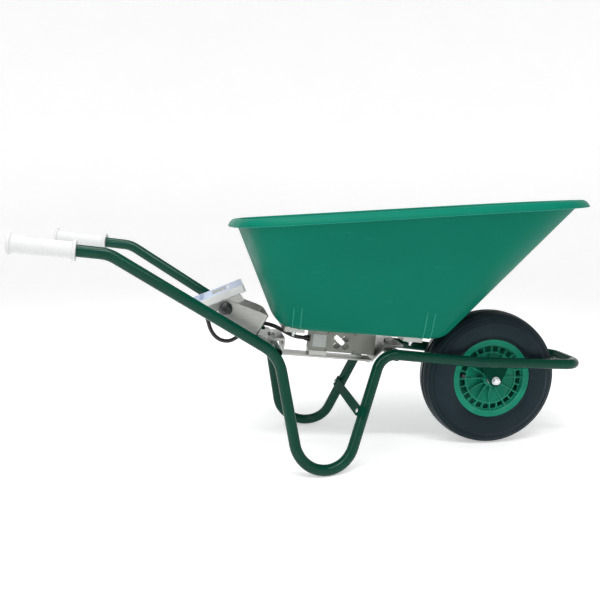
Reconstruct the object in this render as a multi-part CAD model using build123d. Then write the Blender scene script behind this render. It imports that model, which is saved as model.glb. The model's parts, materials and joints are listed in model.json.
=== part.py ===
"""Wheelbarrow with a built-in weigh unit. Millimetres, +X forwards to the wheel, +Y left, +Z up.

The origin is on the ground, under the middle of the whole barrow's length and width.
"""
from build123d import *
import math
import os

# Wheel
wheel_x = 507.5
wheel_radius = 200.0
tyre_half_width = 50.0
rim_seat_radius = 102.0
rim_flange_radius = 117.0
rim_flange_side = 42.5
window_count = 24
window_inner = 78.5
window_outer = 95.5
window_half_width = 9.6
rib_half_thickness = 1.3
seam_flange_radius = 74.0
seam_flange_thickness = 1.5
bracket_bolt_behind = 688.0
rear_bearer_behind = 623.0
front_bearer_behind = 330.0
valve_angle = 7.5
valve_side = 17.0
axle_radius = 6.0
bearing_radius = 16.0
running_gap = 0.05
loose_gap = 0.3

# Frame tube: corners of one side, as distance behind the axle, distance from the middle, height
tube_radius = 15.0
tube_bore = 13.0
handle_end = (1275.7, 239.8, 611.2)
handle_bend = (1058.0, 217.0, 585.0)
rear_leg_bend = (645.0, 160.0, 314.0)
foot_corner = (561.0, 280.0, -212.0)
front_leg_bend = (352.0, 104.0, 299.0)
side_joint = (57.0, 85.0, 260.0)
nose_corner = (-253.5, 80.0, 244.0)
handle_bend_radius = 80.0
rear_leg_bend_radius = 95.0
foot_radius = 85.4
front_leg_bend_radius = 60.0
nose_radius = 45.0
spigot_radius = 12.9
spigot_length = 40.0
weld_gap = 0.05

# Cross tubes, as distance behind the axle and height of the centre line
rear_cross = (650.0, 319.0)
front_cross = (310.0, 291.0)

# Leg brace
brace_height = 148.0
brace_width = 28.0
brace_thickness = 4.0

# Axle brackets
bracket_inner = 64.0
bracket_thickness = 5.0

# Grips
grip_length = 151.0
grip_radius = 20.5
grip_flange_radius = 27.0
grip_end_wall = 4.0

# Weigh unit: its slope, and where its top plate's upper face is
weigh_tilt = 6.0
deck_x_behind = 567.0
deck_height = 374.0
deck_half_width = 100.0
deck_thickness = 4.0
bearer_height = 14.0
bearer_length = 55.0
rear_bearer_u = -55.0
front_bearer_u = 279.0
upper_spacer_height = 10.0
cell_start_u = 31.0
cell_length = 189.0
cell_height = 60.0
cell_half_width = 30.0
lower_spacer_height = 14.0
carrier_thickness = 5.0
carrier_half_width = 30.0
top_plate_half_width = 70.0
top_plate_thickness = 8.0

# Tub
rim_slope = 3.37
rim_height_at_axle = 711.1
tub_wall = 5.0
lip_overhang = 22.0
lip_thickness = 4.0
skirt_depth = 20.0
floor_fillet = 48.0

# Indicator
head_tilt = 21.0
head_corner_behind = 870.0
head_corner_height = 440.0
head_length = 148.0
head_width = 160.0
head_depth = 20.0
head_wall = 2.5
panel_thickness = 1.0
tilt_axis_behind = 780.0
tilt_axis_height = 431.0
yoke_radius = 54.0
yoke_half_width = 83.0
sheet_thickness = 3.0
arm_half_width = 88.0
knob_radius = 18.0
key_rows = [(28.0, -45.0), (28.0, -15.0), (28.0, 15.0), (28.0, 45.0)]
key_size = (12.0, 18.0)
key_gap = 0.3

# Load cell cable: diameter and route, from the indicator's gland to the load cell's
cable_radius = 5.5
cable_route = [
    (-330.2, 0.0, 411.7),
    (-321.2, 0.0, 388.2),
    (-314.0, -2.0, 356.0),
    (-294.0, -4.0, 330.0),
    (-263.0, -3.0, 322.0),
    (-236.0, 0.0, 336.0),
    (-214.0, 2.0, 357.0),
    (-181.0, 2.0, 374.0),
    (-151.0, 2.0, 371.0),
    (-121.0, 2.0, 358.5),
    (-95.0, 1.0, 342.0),
    (-71.0, 0.0, 331.0),
    (-47.2, 0.0, 328.5),
]


def behind(distance):
    """The x of a station that far behind the axle."""
    return wheel_x - distance


def station(point, side):
    """A frame corner in space: side is -1 on the right and +1 on the left."""
    return Vector(behind(point[0]), side * point[1], point[2])


def along(start, end, radius, length=None):
    """A round bar from start towards end."""
    run = Vector(*end) - Vector(*start)
    base = Plane(origin=start, z_dir=run)
    return extrude(base * Circle(radius), run.length if length is None else length)


def slab(plane, u, v, w):
    """A box between pairs of values along a plane's own three directions."""
    size = [high - low for low, high in (u, v, w)]
    middle = [(low + high) / 2 for low, high in (u, v, w)]
    return plane * (Pos(*middle) * Box(*size))


def hexagon_bar(across_flats, height):
    """A hexagonal bar standing on the XY plane."""
    return extrude(RegularPolygon(across_flats / 2, 6, major_radius=False), height)


def side_path(side):
    """The centre line of one side tube, from the grip's end to the nose joint."""
    corners = [handle_end, handle_bend, rear_leg_bend, foot_corner, front_leg_bend, side_joint]
    bends = [handle_bend_radius, rear_leg_bend_radius, foot_radius, front_leg_bend_radius]
    return FilletPolyline(*[station(c, side) for c in corners], radius=bends)


def tube_on(path, outer, inner=None):
    """A round tube, or a bar where inner is left out, along a path."""
    start = Plane(origin=path @ 0, z_dir=path % 0)
    solid = sweep(start * Circle(outer), path=path)
    if inner is None:
        return solid
    return solid - sweep(start * Circle(inner), path=path)


def nose_path():
    """The nose's centre line, from the right joint round the wheel to the left joint."""
    corners = [station(side_joint, -1), station(nose_corner, -1)]
    corners += [station(nose_corner, 1), station(side_joint, 1)]
    return FilletPolyline(*corners, radius=nose_radius)


def make_nose():
    """The nose tube, with a reduced end that plugs into each side tube."""
    nose = tube_on(nose_path(), tube_radius, tube_bore)
    nose = keep_largest(nose - frame_clearance(-1) - frame_clearance(1))
    for side in (-1, 1):
        joint = station(side_joint, side)
        inwards = (station(front_leg_bend, side) - joint).normalized()
        plug = along(joint - inwards * 6, joint + inwards * spigot_length, spigot_radius)
        nose += plug - along(joint - inwards * 8, joint + inwards * 50, spigot_radius - 2)
    return nose


def frame_clearance(side):
    """The room that a side tube needs, for coping the pieces welded to it."""
    return tube_on(side_path(side), tube_radius + weld_gap)


def make_cross_tube(where, reach):
    """A tube between the two side tubes, coped to both, with a bolt hole down its middle."""
    x, z = behind(where[0]), where[1]
    tube = along((x, -reach, z), (x, reach, z), tube_radius)
    tube -= along((x, -reach, z), (x, reach, z), tube_bore)
    tube -= along((x, 0, z - 20), (x, 0, z + 20), 5.2)
    ends = frame_clearance(-1) + frame_clearance(1)
    return keep_largest(tube - ends)


def keep_largest(shape):
    """The largest solid of a cut shape, without the offcuts."""
    return max(shape.solids(), key=lambda s: s.volume)


def front_leg_at(height, side):
    """The point of the front leg's centre line at a height, and the leg's upward direction."""
    low, high = station(foot_corner, side), station(front_leg_bend, side)
    share = (height - low.Z) / (high.Z - low.Z)
    return low + (high - low) * share, (high - low).normalized()


def make_leg_brace():
    """A flat strip behind the front legs, its ends wrapped half round the tubes."""
    centre, upwards = front_leg_at(brace_height, -1)
    flat_up = Vector(upwards.X, 0, upwards.Z).normalized()
    backwards = Vector(-flat_up.Z, 0, flat_up.X)
    face = Plane(origin=(centre.X, 0, centre.Z), x_dir=(0, 1, 0), z_dir=backwards)
    reach = abs(centre.Y)
    low = tube_radius + weld_gap + 0.6
    half = brace_width / 2
    strip = slab(face, (-reach, reach), (-half, half), (low, low + brace_thickness))
    for side in (-1, 1):
        leg, up = front_leg_at(brace_height, side)
        ring_plane = Plane(origin=leg - up * half, x_dir=backwards, z_dir=up)
        band = Circle(low + brace_thickness) - Circle(low)
        outwards = side * up.cross(backwards).Y
        turn = 1 if outwards > 0 else -1
        quarter = Pos(20, turn * 20) * Rectangle(40, 40)
        wrap = extrude(ring_plane * (band & quarter), brace_width)
        strip += wrap
    bolt_holes = [strip_bolt(side, 3.3) for side in (-1, 1)]
    for hole in bolt_holes:
        strip -= hole
    return keep_largest(strip - frame_clearance(-1) - frame_clearance(1))


def strip_bolt(side, radius):
    """A bar through the brace and the rear wall of a front leg."""
    leg, up = front_leg_at(brace_height, side)
    flat_up = Vector(up.X, 0, up.Z).normalized()
    backwards = Vector(-flat_up.Z, 0, flat_up.X)
    inner = leg + backwards * (tube_radius - 1.5)
    return along(inner, inner + backwards * 12, radius)


def make_brace_bolts():
    """Two round-headed bolts that hold the brace to the legs."""
    bolts = []
    for side in (-1, 1):
        leg, up = front_leg_at(brace_height, side)
        flat_up = Vector(up.X, 0, up.Z).normalized()
        backwards = Vector(-flat_up.Z, 0, flat_up.X)
        base = tube_radius + 0.65 + brace_thickness
        seat = Plane(origin=leg + backwards * base, z_dir=backwards)
        head = seat * revolve(Plane.XZ * dome_profile(6.5, 3.6), Axis.Z)
        shank = along(leg + backwards * (tube_radius + 0.3), leg + backwards * (base + 1), 3.2)
        bolts.append((head + shank).solid())
    return Compound(children=bolts)


def dome_profile(radius, height):
    """Half the section of a low dome standing on the X axis."""
    crown = radius * 0.15
    top = ThreePointArc((radius, height * 0.25), (radius * 0.72, height * 0.74), (crown, height))
    close = Polyline((crown, height), (0, height), (0, 0), (radius, 0), (radius, height * 0.25))
    return make_face(top + close)


def make_axle_bracket(side):
    """A hanging plate welded inside the nose tube, with the axle's hole."""
    centre = Vector(wheel_x, side * bracket_inner, wheel_radius)
    plate_plane = Plane(origin=centre, x_dir=(1, 0, 0), z_dir=(0, side, 0))
    up = -side
    hang = [(-46, up * 56), (40, up * 56), (34, up * 30)]
    hang += [(17.5, up * -5), (-17.5, up * -5), (-38, up * 30)]
    drop = Circle(18) + make_face(Polyline(*hang, close=True))
    plate = extrude(plate_plane * (drop - Circle(axle_radius + 0.2)), bracket_thickness)
    room = tube_on(nose_path(), tube_radius + weld_gap) + frame_clearance(side)
    return keep_largest(plate - room)


def make_grip(side):
    """A moulded grip with a flange at each end, closed at the rear."""
    end, bend = station(handle_end, side), station(handle_bend, side)
    ahead = (bend - end).normalized()
    rear = end - ahead * grip_end_wall
    half = grip_length / 2
    outline = [(0, 0), (grip_flange_radius - 2, 0), (grip_flange_radius, 2.5), (grip_flange_radius, 6)]
    outline += [(grip_radius + 1.5, 10), (grip_radius, 16), (grip_radius - 0.8, half)]
    outline += [(grip_radius, grip_length - 16)]
    outline += [(grip_radius + 1.5, grip_length - 10), (grip_flange_radius, grip_length - 6)]
    outline += [(grip_flange_radius, grip_length - 2.5), (grip_flange_radius - 2, grip_length)]
    outline += [(tube_radius + 0.1, grip_length), (tube_radius + 0.1, grip_end_wall), (0, grip_end_wall)]
    body = revolve(Plane.XZ * make_face(Polyline(*outline, close=True)), Axis.Z)
    for height in range(24, int(grip_length) - 20, 8):
        body -= Pos(0, 0, height) * Torus(grip_radius + 0.3, 0.9)
    return Plane(origin=rear, z_dir=ahead) * body


def on_axle(section):
    """A ring about the axle, from a section whose x is the radius and y the place along the axle."""
    return Pos(wheel_x, 0, wheel_radius) * revolve(section, Axis.Y)


def ring(inner, outer, low, high):
    """A plain ring about the axle."""
    return on_axle(Pos((inner + outer) / 2, (low + high) / 2) * Rectangle(outer - inner, high - low))


def make_rim_half(side):
    """One moulded half of the rim: hub, dished disc with ribs and windows, and half of the tyre seat."""
    ring_outer, ring_inner = window_inner, window_inner - 3
    disc = [(24, 12), (54, 16), (82, 26), (97.5, 26), (97.5, 0.1), (rim_seat_radius, 0.1)]
    disc += [(rim_seat_radius, 38.5)]
    disc += [(rim_flange_radius - 1.5, 38.5), (rim_flange_radius, 40), (rim_flange_radius, 41.5)]
    disc += [(rim_flange_radius - 1.5, rim_flange_side), (101, rim_flange_side), (98.5, 40), (97.5, 30)]
    disc += [(ring_outer, 29.5), (ring_outer, 35), (ring_inner, 35), (ring_inner, 28.5), (54, 20.5)]
    disc += [(24, 16.5), (24, 44), (bearing_radius, 44)]
    disc += [(bearing_radius, 34), (13, 34), (13, 0.1), (24, 0.1)]
    section = make_face(Polyline(*disc, close=True))
    half = revolve(section, Axis.Y)
    rib_outline = [(20, 42), (36, 32.5), (54, 29), (72, 33), (78, 36), (99, 38), (99, 27), (82, 27)]
    rib_outline += [(54, 17), (20, 13)]
    rib = extrude(make_face(Polyline(*rib_outline, close=True)), rib_half_thickness, both=True)
    bar_length = window_outer - window_inner + 3
    window_middle = (window_inner + window_outer) / 2
    bar = extrude(Pos(window_middle, 31) * Rectangle(bar_length, 10), rib_half_thickness, both=True)
    opening = Rectangle(window_outer - window_inner, 12)
    window = extrude(Pos(window_middle, 28) * opening, window_half_width, both=True)
    step = 360 / window_count
    first = 0 if side < 0 else step / 2
    ribs = [Rot(0, step * i + first, 0) * (rib if i % 2 == 0 else bar) for i in range(window_count)]
    windows = [Rot(0, step * (i + 0.5) + first, 0) * window for i in range(window_count)]
    half = half - windows
    half = half + ribs
    flange_section = make_face(Polyline(
        (seam_flange_radius, 0.1),
        (98.5, 0.1),
        (98.5, seam_flange_thickness),
        (seam_flange_radius, seam_flange_thickness),
        close=True,
    ))
    half += revolve(flange_section, Axis.Y)
    half -= revolve(Pos(6.5, 20) * Rectangle(13, 60), Axis.Y)
    if side < 0:
        half = mirror(half, Plane.XZ)
        half -= Rot(0, valve_angle, 0) * along((-110, -valve_side, 0), (-90, -valve_side, 0), 4.4)
    return Pos(wheel_x, 0, wheel_radius) * keep_largest(half)


def make_tyre():
    """The tyre: a C-shaped section with five ribs round the tread."""
    outer = Spline((117.6, 43.5), (132, 49), (158, tyre_half_width), (184, 45.5), (194, 36))
    crown = ThreePointArc((194, 36), (wheel_radius, 0), (194, -36))
    outer_low = Spline((194, -36), (184, -45.5), (158, -tyre_half_width), (132, -49), (117.6, -43.5))
    bead_low = Polyline((117.6, -43.5), (117.4, -38), (103.2, -38), (102.3, -36), (102.3, -27), (110, -28))
    hollow = [(110, -28), (128, -41), (158, -44.5), (183, -36), (191.5, 0)]
    inner = Spline(*hollow, *[(r, -y) for r, y in reversed(hollow[:-1])])
    bead_high = Polyline((110, 28), (102.3, 27), (102.3, 36), (103.2, 38), (117.4, 38), (117.6, 43.5))
    section = make_face(outer + crown + outer_low + bead_low + inner + bead_high)
    for centre in (-27.0, -9.0, 9.0, 27.0):
        section -= Pos(wheel_radius - 1.2, centre) * Rectangle(9, 4.5)
    return on_axle(section)


def make_inner_tube():
    """The air tube, an oval ring inside the tyre."""
    return on_axle(Pos(150, 0) * Ellipse(36, 33) - Pos(150, 0) * Ellipse(34, 31))


def make_valve():
    """The valve stem, through the seat and out by a window, with its nut."""
    path = FilletPolyline((-112, -valve_side, 0), (-91.5, -valve_side, 0), (-91.5, -47, 0), radius=7)
    return Pos(wheel_x, 0, wheel_radius) * Rot(0, valve_angle, 0) * tube_on(path, 3.8, 1.2)


def make_valve_cap():
    """A small ribbed cap on the valve's end."""
    cap = extrude(Circle(5.2), 12) - extrude(Circle(3.95), 9.5)
    for i in range(12):
        cap -= Rot(0, 0, 30 * i) * Pos(5.4, 0, 5) * Cylinder(0.5, 8)
    seat = Plane(origin=(-91.5, -39, 0), x_dir=(1, 0, 0), z_dir=(0, -1, 0))
    return Pos(wheel_x, 0, wheel_radius) * Rot(0, valve_angle, 0) * (seat * cap)


def make_bearing(side):
    """A shielded bearing in the hub's end."""
    low, high = 34.1, 43.9
    body = ring(axle_radius + running_gap, bearing_radius - 0.02, low, high)
    body -= ring(8.6, 13.6, high - 1.2, high + 1)
    return body if side > 0 else mirror(body, Plane.XZ)


def make_axle():
    """A threaded axle bolt with a small chamfer at each end."""
    bar = Cylinder(axle_radius, 168)
    bar = chamfer(bar.edges(), 1.2)
    return Pos(wheel_x, 0, wheel_radius) * Rot(90, 0, 0) * bar


def make_axle_nuts():
    """A washer and a nut on each end of the axle."""
    pieces = []
    face = bracket_inner + bracket_thickness
    for side in (-1, 1):
        seat = Plane(origin=(wheel_x, side * face, wheel_radius), x_dir=(1, 0, 0), z_dir=(0, side, 0))
        washer = extrude(Circle(12) - Circle(axle_radius + 0.2), 2)
        nut = Pos(0, 0, 2.05) * (hexagon_bar(18, 10) & dome_nut(10.4, 10))
        nut -= extrude(Circle(axle_radius + 0.02), 20)
        pieces += [(seat * washer).solid(), (seat * nut).solid()]
    return Compound(children=pieces)


def dome_nut(radius, height):
    """A round bar with both edges broken, used to shape a nut's corners."""
    bar = Cylinder(radius, height, align=(Align.CENTER, Align.CENTER, Align.MIN))
    return chamfer(bar.edges().group_by(Axis.Z)[-1], 1.2, 1.2)


def make_axle_spacers():
    """A sleeve between each bracket and the wheel's bearing."""
    low = 43.9 + loose_gap
    high = bracket_inner - weld_gap
    sleeves = [ring(axle_radius + 0.02, 9.0, low, high), ring(axle_radius + 0.02, 9.0, -high, -low)]
    return Compound(children=[s.solid() for s in sleeves])


def weigh_plane():
    """The weigh unit's own directions: u forwards and down, v to the left, w square to its plates."""
    tilt = math.radians(weigh_tilt)
    return Plane(
        origin=(behind(deck_x_behind), 0, deck_height),
        x_dir=(math.cos(tilt), 0, -math.sin(tilt)),
        z_dir=(math.sin(tilt), 0, math.cos(tilt)),
    )


def cell_levels():
    """The heights of the faces stacked under the deck: spacer, cell, lower spacer, carrier."""
    top = -deck_thickness - upper_spacer_height
    bottom = top - cell_height
    rest = bottom - lower_spacer_height
    return top, bottom, rest, rest - carrier_thickness


def deck_span():
    """Where the deck starts and ends: it rests halfway over each bearer."""
    return rear_bearer_u + bearer_length * 0.4, front_bearer_u + bearer_length * 0.6


def tub_bolt_places():
    """The four tub bolts, on the bearers."""
    rear = rear_bearer_u + bearer_length / 2
    front = front_bearer_u + bearer_length / 2
    return [(u, v) for u in (rear, front) for v in (-78.0, 78.0)]


def make_deck():
    """The plate on top of the load cell."""
    plane = weigh_plane()
    start, end = deck_span()
    half = deck_half_width - 1
    deck = slab(plane, (start, end), (-half, half), (-deck_thickness, 0))
    for u, v in tub_bolt_places():
        deck -= plane * (Pos(u, v, 0) * Cylinder(4.3, 40))
    for u in upper_cell_bolts():
        deck -= plane * (Pos(u, 0, 0) * Cylinder(4.3, 40))
    return deck


def make_bearer(start):
    """A bar across the barrow that carries one end of the tub, rebated for the deck."""
    plane = weigh_plane()
    width = (-deck_half_width, deck_half_width)
    bar = slab(plane, (start, start + bearer_length), width, (-bearer_height, 0))
    deck_start, deck_end = deck_span()
    half = deck_half_width - 1 + weld_gap
    bar -= slab(plane, (deck_start - weld_gap, deck_end + weld_gap), (-half, half), (-deck_thickness, 1))
    for u, v in tub_bolt_places():
        bar -= plane * (Pos(u, v, -7) * Cylinder(4.3, 40))
    return bar


def upper_cell_bolts():
    """Where the deck is bolted to the load cell's front end."""
    return [cell_start_u + cell_length - 36, cell_start_u + cell_length - 14]


def lower_cell_bolts():
    """Where the carrier is bolted to the load cell's rear end."""
    return [cell_start_u + 14, cell_start_u + 36]


def make_load_cell():
    """The measuring block: a flexing bar with a four-lobed opening and slits at its edges."""
    plane = weigh_plane()
    top, bottom, _, _ = cell_levels()
    end = cell_start_u + cell_length
    block = slab(plane, (cell_start_u, end), (-cell_half_width, cell_half_width), (bottom, top))
    middle_u = cell_start_u + cell_length * 0.475
    middle_w = (top + bottom) / 2
    side = Plane(origin=plane.from_local_coords((middle_u, 0, middle_w)), x_dir=plane.x_dir, z_dir=(0, -1, 0))
    lobes = Sketch() + [Pos(a, b) * Circle(9.5) for a in (-13, 13) for b in (-11, 11)]
    lobes += Rectangle(26, 10) + Rectangle(12, 24)
    block -= extrude(side * lobes, 60, both=True)
    slit_depth, slit_width = 9.0, 2.0
    for place, edge, turn in ((-40, top, -1), (38, top, -1), (-44, bottom, 1), (36, bottom, 1)):
        low, high = sorted((edge, edge + turn * slit_depth))
        u = middle_u + place
        block -= slab(plane, (u, u + slit_width), (-40, 40), (low, high))
    for low, edge in ((-40, top), (-44, bottom)):
        groove = (edge - 1.2, edge + 1) if edge == top else (edge - 1, edge + 1.2)
        for v in ((-40, -cell_half_width + 1.5), (cell_half_width - 1.5, 40)):
            block -= slab(plane, (middle_u + low, middle_u + low + 80), v, groove)
    for u in upper_cell_bolts():
        block -= plane * (Pos(u, 0, top - 12) * Cylinder(4.1, 26))
    for u in lower_cell_bolts():
        block -= plane * (Pos(u, 0, bottom + 12) * Cylinder(4.1, 26))
    return block


def make_type_plate():
    """A thin blank plate on the load cell's right side."""
    plane = weigh_plane()
    top, bottom, _, _ = cell_levels()
    start = cell_start_u + 7
    face = -cell_half_width
    return slab(plane, (start, start + 38), (face - 0.8, face - 0.02), (bottom + 12, top - 12))


def make_upper_spacer():
    """The spacer between the load cell's front end and the deck."""
    plane = weigh_plane()
    top, _, _, _ = cell_levels()
    end = cell_start_u + cell_length
    spacer = slab(plane, (end - 50, end), (-27, 27), (top + 0.02, -deck_thickness - 0.02))
    for u in upper_cell_bolts():
        spacer -= plane * (Pos(u, 0, top) * Cylinder(4.3, 60))
    return spacer


def make_lower_spacer():
    """The spacer between the carrier and the load cell's rear end."""
    plane = weigh_plane()
    _, bottom, rest, _ = cell_levels()
    spacer = slab(plane, (cell_start_u, cell_start_u + 50), (-27, 27), (rest + 0.02, bottom - 0.02))
    for u in lower_cell_bolts():
        spacer -= plane * (Pos(u, 0, rest) * Cylinder(4.3, 60))
    return spacer


def make_cell_bolts():
    """Two countersunk bolts through the deck and two hexagon bolts through the carrier."""
    plane = weigh_plane()
    _, bottom, _, under = cell_levels()
    bolts = []
    for u in upper_cell_bolts():
        shank = Cylinder(4.0, 34, align=(Align.CENTER, Align.CENTER, Align.MAX))
        bolts.append((plane * (Pos(u, 0, -0.3) * shank)).solid())
    for u in lower_cell_bolts():
        shank = Cylinder(4.0, bottom + 20 - under)
        head = Pos(0, 0, -5.3) * hexagon_bar(13, 5.3)
        bolt = Pos(0, 0, (bottom + 20 - under) / 2) * shank + head
        bolts.append((plane * (Pos(u, 0, under - 0.02) * bolt)).solid())
    return Compound(children=bolts)


def make_carrier():
    """The fixed carrier: a strip under the load cell, a riser at each end and a plate on each cross tube."""
    plane = weigh_plane()
    _, _, rest, under = cell_levels()
    rear_x, front_x = behind(rear_bearer_behind), behind(front_bearer_behind)
    rear_top = rear_cross[1] + tube_radius + top_plate_thickness
    front_top = front_cross[1] + tube_radius + top_plate_thickness
    start = (rear_x - plane.origin.X) / math.cos(math.radians(weigh_tilt)) + 9.0
    strip = slab(plane, (start, start + 267), (-carrier_half_width, carrier_half_width), (under, rest))
    rear_foot = plane.from_local_coords((start, 0, under)).Z
    rear_riser = slab(Plane.XY, (rear_x, rear_x + 5), (-70, 70), (rear_foot, rear_top))
    rear_riser &= taper(rear_foot + 6, rear_top - top_plate_thickness - 6)
    foot = plane.from_local_coords((start + 267, 0, under))
    slant = [(foot.X - 5, foot.Z), (foot.X, foot.Z), (front_x, front_top), (front_x - 5, front_top)]
    front_riser = extrude(Plane.XZ * make_face(Polyline(*slant, close=True)), 70, both=True)
    front_riser &= taper(foot.Z + 6, front_top - top_plate_thickness - 6)
    half = (-top_plate_half_width, top_plate_half_width)
    rear_plate = slab(Plane.XY, (behind(708.0), rear_x + 5), half, (rear_top - top_plate_thickness, rear_top))
    front_levels = (front_top - top_plate_thickness, front_top)
    front_plate = slab(Plane.XY, (front_x - 5, behind(281.0)), half, front_levels)
    rib = [(foot.X - 38, foot.Z + 6), (foot.X - 2, foot.Z + 2)]
    rib += [(foot.X - 2, foot.Z - 9), (foot.X - 8, foot.Z - 9)]
    gusset = extrude(Plane.XZ * make_face(Polyline(*rib, close=True)), 2, both=True)
    carrier = strip + rear_riser + front_riser + rear_plate + front_plate + gusset
    for x in (behind(rear_cross[0]), behind(front_cross[0])):
        carrier -= Pos(x, 0, 325) * Cylinder(5.2, 90)
    for y in (-50, 50):
        carrier -= Pos(behind(bracket_bolt_behind), y, 340) * Cylinder(3.3, 60)
    for u in lower_cell_bolts():
        carrier -= plane * (Pos(u, 0, rest) * Cylinder(4.3, 60))
    return keep_largest(carrier)


def taper(low, high):
    """A long prism that narrows downwards, from the top plates' width to the strip's."""
    wide, narrow = top_plate_half_width, carrier_half_width
    outline = [(-narrow, low - 90), (narrow, low - 90), (narrow, low), (wide, high), (wide, high + 60)]
    outline += [(-wide, high + 60), (-wide, high), (-narrow, low)]
    return extrude(Plane.YZ * make_face(Polyline(*outline, close=True)), 900, both=True)


def make_carrier_bolts():
    """A bolt with a nut through each top plate and its cross tube."""
    pieces = []
    for where in (rear_cross, front_cross):
        x, z = behind(where[0]), where[1]
        top = z + tube_radius + top_plate_thickness
        low = z - tube_radius
        shank = Pos(x, 0, (top + low - 11) / 2) * Cylinder(5.0, top - low + 17)
        head = Pos(x, 0, top + 0.02) * (hexagon_bar(16, 6.4) & dome_nut(9.3, 6.4))
        pieces.append((shank + head).solid())
        nut = Pos(x, 0, low - 10) * hexagon_bar(16, 8) - Pos(x, 0, low - 5) * Cylinder(5.02, 40)
        pieces.append(nut.solid())
    return Compound(children=pieces)


def make_tub_bolts():
    """Four dome-headed bolts down through the tub's floor and the bearers."""
    plane = weigh_plane()
    pieces = []
    for u, v in tub_bolt_places():
        dome = revolve(Plane.XZ * dome_profile(10, 4.5), Axis.Z)
        shank = Cylinder(4.0, 34, align=(Align.CENTER, Align.CENTER, Align.MAX))
        bolt = Pos(0, 0, tub_wall + 0.35) * dome + Pos(0, 0, tub_wall + 1) * shank
        pieces.append((plane * (Pos(u, v, 0) * bolt)).solid())
    return Compound(children=pieces)


def make_tub_nuts():
    """The nuts of the tub bolts, under the bearers."""
    plane = weigh_plane()
    pieces = []
    for u, v in tub_bolt_places():
        nut = hexagon_bar(13, 7) - Cylinder(4.02, 40)
        pieces.append((plane * (Pos(u, v, -bearer_height - 7.1) * nut)).solid())
    return Compound(children=pieces)


def rim_plane():
    """The plane of the tub's rim, which rises to the front, at the axle's station."""
    slope = math.radians(rim_slope)
    return Plane(
        origin=(wheel_x, 0, rim_height_at_axle),
        x_dir=(math.cos(slope), 0, math.sin(slope)),
        z_dir=(-math.sin(slope), 0, math.cos(slope)),
    )


def tub_outline(rear, front, rear_half, front_half, rear_bulge, rear_radius, front_radius):
    """The tub's plan at one level: a bulging rear edge, straight sides and a rounded front."""
    left, right = (rear + rear_bulge, rear_half), (rear + rear_bulge, -rear_half)
    back_edge = ThreePointArc(left, (rear, 0), right)
    sides = Polyline(right, (front, -front_half), (front, front_half), left)
    face = make_face(back_edge + sides)
    corners = face.vertices().sort_by(Axis.X)
    face = fillet(corners[-2:], front_radius)
    corners = face.vertices().filter_by(lambda v: v.X < rear + rear_bulge + 1 and abs(v.Y) > rear_half - 1)
    return fillet(corners, rear_radius)


def rim_outline(grow):
    """The wall's outline at the rim, made larger all round by grow."""
    return tub_outline(
        -748 - grow, 190 + grow, 313 + grow, 290 + grow, 34, 110 + grow, 215 + grow
    )


def floor_outline(grow):
    """The wall's outline at the floor, made larger all round by grow."""
    return tub_outline(-74 - grow, 412 + grow, 158 + grow, 128 + grow, 12, 75 + grow, 100 + grow)


def tub_body(grow, floor_level, rim_level):
    """The closed shape between the floor and the rim, grown outwards by grow."""
    low = weigh_plane() * (Pos(0, 0, floor_level) * floor_outline(grow))
    high = rim_plane() * (Pos(0, 0, rim_level) * rim_outline(grow))
    body = Solid.make_loft([low.faces()[0].outer_wire(), high.faces()[0].outer_wire()], ruled=True)
    lowest = low.faces()[0].center()
    floor_face = min(body.faces(), key=lambda f: (f.center() - lowest).length)
    return body.fillet(floor_fillet, floor_face.edges())


def make_tub():
    """The moulded tub: sloping walls, a rounded floor and a rim with a turned-down skirt."""
    outer = tub_body(0, 0.02, 0)
    inner = tub_body(-tub_wall, 0.02 + tub_wall, 1)
    plane = rim_plane()
    lip = plane * (Pos(0, 0, -lip_thickness) * rim_outline(lip_overhang))
    lip = extrude(lip, lip_thickness, dir=plane.z_dir)
    skirt = plane * (Pos(0, 0, -skirt_depth) * (rim_outline(lip_overhang) - rim_outline(lip_overhang - 4)))
    skirt = extrude(skirt, skirt_depth, dir=plane.z_dir)
    tub = outer + lip + skirt - inner
    for u, v in tub_bolt_places():
        tub -= weigh_plane() * (Pos(u, v, 0) * Cylinder(4.3, 40))
    return keep_largest(tub)


def head_plane():
    """The indicator's own directions: u up its face, v to the left, w out of its face."""
    tilt = math.radians(head_tilt)
    return Plane(
        origin=(behind(head_corner_behind), 0, head_corner_height),
        x_dir=(math.cos(tilt), 0, math.sin(tilt)),
        z_dir=(-math.sin(tilt), 0, math.cos(tilt)),
    )


def rounded_slab(plane, u, v, w, radius):
    """A box between pairs of values whose upright edges are rounded."""
    outline = RectangleRounded(u[1] - u[0], v[1] - v[0], radius)
    solid = extrude(Pos((u[0] + u[1]) / 2, (v[0] + v[1]) / 2, w[0]) * outline, w[1] - w[0])
    return plane * solid


def make_housing_back():
    """The indicator's rear shell, with the cable gland's hole."""
    plane = head_plane()
    half = head_width / 2
    shell = rounded_slab(plane, (0, head_length), (-half, half), (-head_depth, -8), 6)
    room = (head_wall, head_length - head_wall), (head_wall - half, half - head_wall)
    shell -= rounded_slab(plane, *room, (-head_depth + head_wall, -7), 4)
    for u, v in screw_places():
        shell += plane * (Pos(u, v, -(head_depth + 8) / 2) * Cylinder(4, head_depth - 8))
    for u, v in screw_places():
        shell -= plane * (Pos(u, v, -14) * Cylinder(1.7, 30))
    return shell - plane * (Pos(20, 0, -head_depth) * Cylinder(6.1, 20))


def screw_places():
    """The four screws that close the indicator."""
    return [(u, v) for u in (8.0, head_length - 8) for v in (-72.0, 72.0)]


def make_housing_screws():
    """Four countersunk screws from behind."""
    plane = head_plane()
    screws = []
    for u, v in screw_places():
        shank = Cylinder(1.6, 15.4, align=(Align.CENTER, Align.CENTER, Align.MIN))
        head = Pos(0, 0, -1.6) * Cylinder(3.2, 1.6, align=(Align.CENTER, Align.CENTER, Align.MIN))
        screws.append((plane * (Pos(u, v, -head_depth - 0.02) * (shank + head))).solid())
    return Compound(children=screws)


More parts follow.
